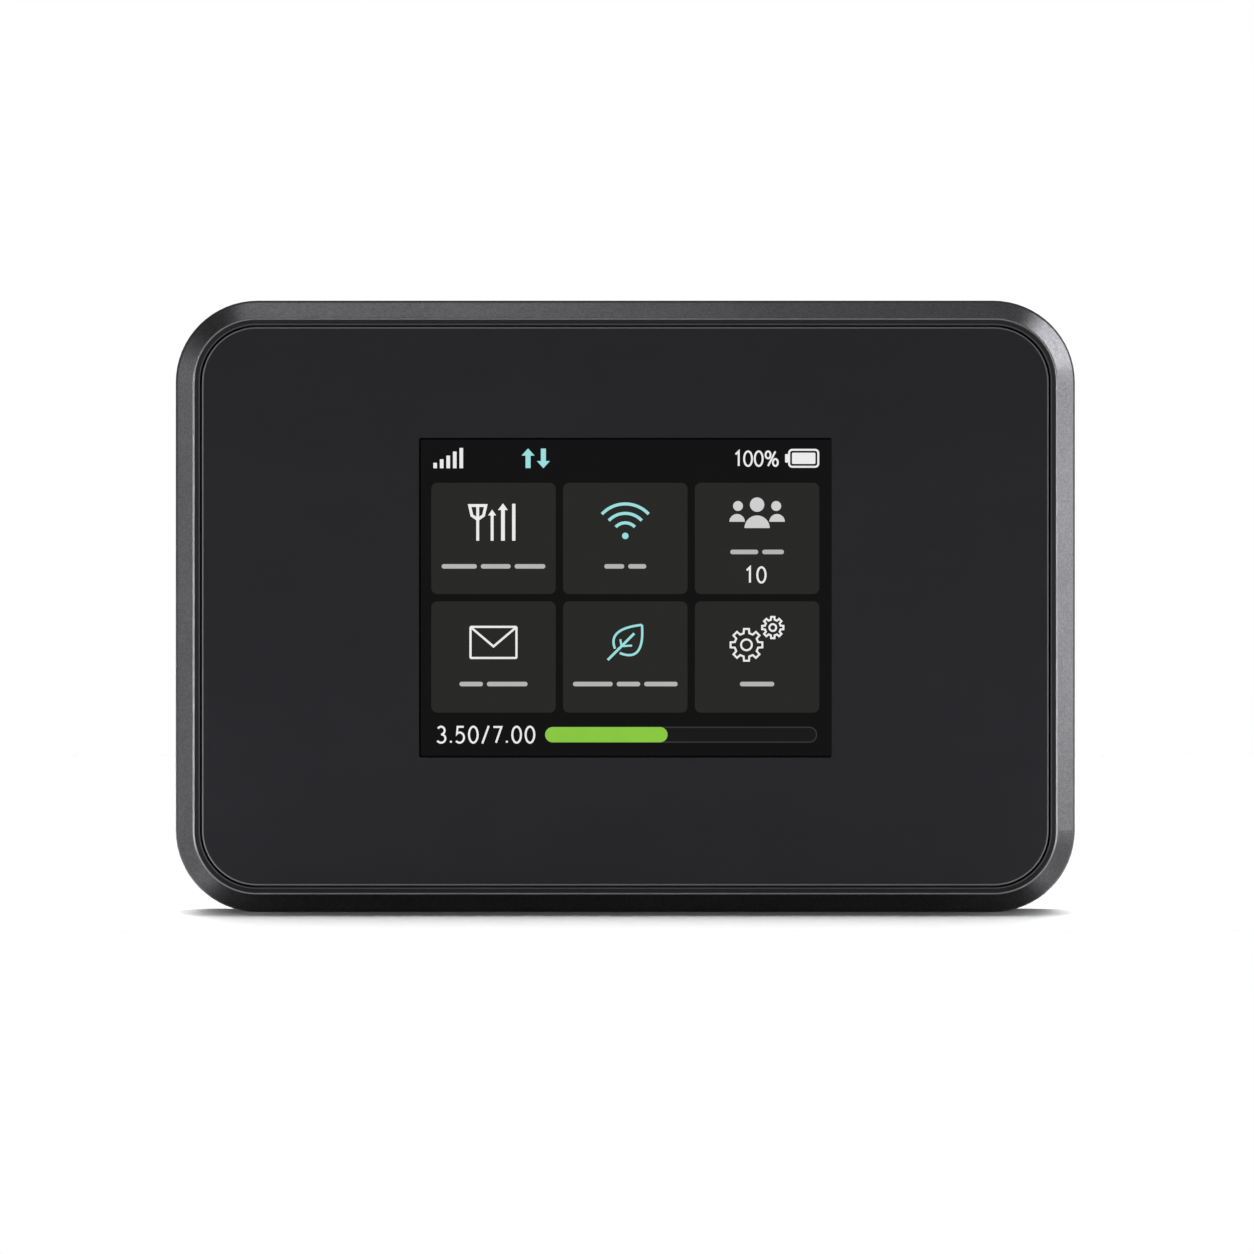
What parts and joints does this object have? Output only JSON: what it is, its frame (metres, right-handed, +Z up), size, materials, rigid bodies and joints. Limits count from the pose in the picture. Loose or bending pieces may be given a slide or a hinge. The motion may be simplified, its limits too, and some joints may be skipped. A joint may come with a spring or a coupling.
{
  "type": "mobile hotspot",
  "caption": "Pocket mobile hotspot: rounded slab with a bevelled frame, glass front with a colour touch display, power key, data port, and a pull-off back cover over the battery and SIM socket.",
  "frame": {"origin": "middle of the underside, on the surface the body stands on, halfway through its depth", "axes": "+X to the right seen from the front, +Y from the glass face to the back cover, +Z up; it stands on its long lower edge"},
  "size_m": [0.1, 0.0154, 0.068],
  "materials": {
    "frame_paint": "satin metallic dark grey paint",
    "front_glass": "polished, printed dark from behind",
    "black_tape": "matte",
    "film": "clear bonded film",
    "flex_film": "amber polyimide film",
    "display_cell": "dark polarised cell",
    "white_film": "white diffuser",
    "steel": "bright rolled sheet",
    "screw_steel": "blackened",
    "foam": "fine open foam",
    "board": "solder-masked glass fibre",
    "black_plastic": "moulded",
    "thermal_rubber": "soft pad",
    "pale_plastic": "moulded",
    "gold": "plated",
    "copper": "plated track",
    "key_plastic": "satin",
    "chassis_plastic": "fine-textured moulding",
    "battery_can": "sleeved in matte film",
    "battery_plastic": "moulded",
    "cover_plastic": "fine-textured moulding"
  },
  "bodies": {
    "case": {"front_frame": "frame_paint", "cover_glass": "front_glass", "glass_tape": "black_tape", "touch_sensor": "film", "touch_flex": "flex_film", "lcd_cell": "display_cell", "lcd_backlight": "white_film", "lcd_tray": "steel", "lcd_flex": "flex_film", "lcd_foam": "foam", "main_board": "board", "board_chips": "black_plastic", "modem_shield": "steel", "power_shield": "steel", "wlan_shield": "steel", "thermal_pads": "thermal_rubber", "flex_connectors": "pale_plastic", "usb_shell": "steel", "usb_tongue": "black_plastic", "usb_contacts": "gold", "key_switch": "steel", "sim_base": "black_plastic", "sim_shell": "steel", "sim_contacts": "gold", "contact_block": "black_plastic", "contact_springs": "gold", "antenna_carriers": "black_plastic", "antenna_traces": "copper", "antenna_clips": "gold", "wlan_antenna": "flex_film", "rear_chassis": "chassis_plastic", "chassis_screws": "screw_steel", "battery_pack": "battery_can", "battery_head_cap": "battery_plastic", "battery_terminals": "gold"},
    "key": {"power_key": "key_plastic", "switch_plunger": "pale_plastic"},
    "cover": {"rear_cover": "cover_plastic", "battery_pad": "foam"}
  },
  "joints": [
    {"name": "key_press", "type": "slide", "parent": "case", "child": "key", "axis": [0, 0, -1], "range_m": [0, 0.0003], "stiffness_N_per_m": 2000},
    {"name": "cover_slide", "type": "slide", "parent": "case", "child": "cover", "axis": [0, 1, 0], "range_m": [0, 0.025]}
  ]
}
